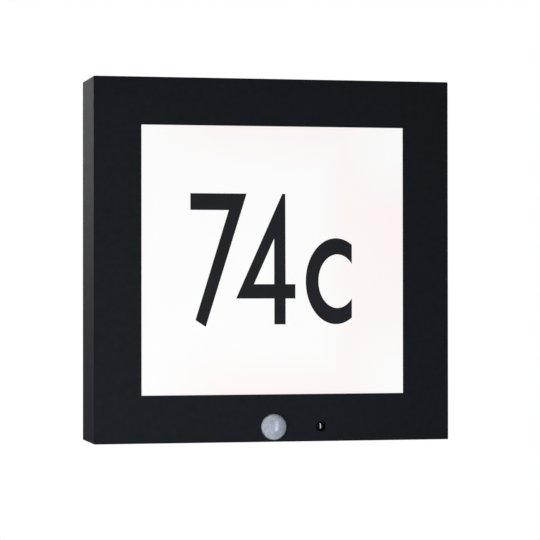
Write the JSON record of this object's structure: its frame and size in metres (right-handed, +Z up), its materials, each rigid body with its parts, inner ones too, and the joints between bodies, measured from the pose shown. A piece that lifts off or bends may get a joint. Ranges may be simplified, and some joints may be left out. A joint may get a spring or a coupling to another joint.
{
  "type": "outdoor wall light",
  "caption": "Square outdoor wall light: dark steel box, opal window with a house number, motion dome and daylight eye; its cover pulls off forwards to reach the wiring and setting knobs.",
  "frame": {"origin": "centre of the four wall slots, on the wall plate's rear face", "axes": "+X right seen from the front, +Y into the wall, +Z up; the front faces -Y"},
  "size_m": [0.3, 0.0727, 0.305],
  "materials": {
    "housing_paint": "matt powder coat, blue-black",
    "opal": "satin opal",
    "film": "matt film",
    "foam": "closed-cell foam",
    "zinc": "zinc-plated sheet",
    "screw_steel": "zinc-plated",
    "screw_black": "stainless steel",
    "grommet_rubber": "matt rubber",
    "terminal_plastic": "moulded polyamide",
    "tin": "tinned",
    "driver_plastic": "fine moulded grain",
    "board": "solder-resist lacquer",
    "aluminium_sheet": "mill finish",
    "reflector_white": "matt white",
    "strip_white": "white lacquer",
    "phosphor": "yellow phosphor",
    "lead_brown": "insulation",
    "lead_blue": "insulation",
    "lead_earth": "striped insulation",
    "lead_red": "insulation",
    "lead_black": "insulation",
    "lead_grey": "sheath",
    "clip_plastic": "moulded",
    "lens_milky": "milky, with fine lens facets",
    "sensor_dark": "dark gloss",
    "relay_plastic": "moulded",
    "knob_housing_plastic": "moulded",
    "knob_plastic": "moulded"
  },
  "bodies": {
    "base": {"wall_plate": "zinc", "wall_gasket": "foam", "cable_grommet": "grommet_rubber", "cover_screws": "screw_black", "cover_nuts": "screw_steel", "terminal_block": "terminal_plastic", "terminal_screws": "screw_steel", "earth_stud": "screw_steel", "earth_lug": "tin", "earth_nuts": "screw_steel", "driver_base": "driver_plastic", "driver_lid": "driver_plastic", "driver_board": "board", "driver_screws": "screw_steel", "led_carrier": "aluminium_sheet", "carrier_spacers": "screw_steel", "carrier_screws": "screw_steel", "reflector_frame": "reflector_white", "led_chips": "phosphor", "strip_screws": "screw_steel", "jumper_leads": "lead_red", "led_strip_1": "strip_white", "led_strip_2": "strip_white", "led_strip_3": "strip_white", "led_strip_4": "strip_white", "live_lead": "lead_brown", "neutral_lead": "lead_blue", "earth_lead": "lead_earth", "led_lead_red": "lead_red", "led_lead_black": "lead_black", "sensor_lead": "lead_grey", "lead_clips": "clip_plastic", "sensor_bracket": "zinc", "bracket_screws": "screw_steel", "sensor_board": "board", "board_screws": "screw_steel", "sensor_cup": "clip_plastic", "pir_lens": "lens_milky", "pyro_detector": "tin", "sensor_relay": "relay_plastic", "sensor_plug": "clip_plastic", "photo_cell": "sensor_dark", "daylight_lens": "sensor_dark", "knob_housings": "knob_housing_plastic"},
    "cover": {"front_housing": "housing_paint", "diffuser_gasket": "foam", "diffuser_panel": "opal", "retainer_top": "zinc", "retainer_bottom": "zinc", "retainer_left": "zinc", "retainer_right": "zinc", "retainer_studs": "screw_steel", "retainer_nuts": "screw_steel", "digit_seven": "film", "digit_four": "film", "letter_c": "film"},
    "reach_knob": {"reach_knob": "knob_plastic"},
    "time_knob": {"time_knob": "knob_plastic"},
    "twilight_knob": {"twilight_knob": "knob_plastic"}
  },
  "joints": [
    {"name": "cover_pull", "type": "slide", "parent": "base", "child": "cover", "axis": [0, -1, 0], "range_m": [0, 0.08]},
    {"name": "reach_knob_turn", "type": "hinge", "parent": "base", "child": "reach_knob", "pos_m": [-0.0195, -0.05, -0.1351], "axis": [0, -1, 0], "range_deg": [-135, 135]},
    {"name": "time_knob_turn", "type": "hinge", "parent": "base", "child": "time_knob", "pos_m": [-0.031, -0.05, -0.1351], "axis": [0, -1, 0], "range_deg": [-135, 135]},
    {"name": "twilight_knob_turn", "type": "hinge", "parent": "base", "child": "twilight_knob", "pos_m": [-0.0425, -0.05, -0.1351], "axis": [0, -1, 0], "range_deg": [-135, 135]}
  ]
}
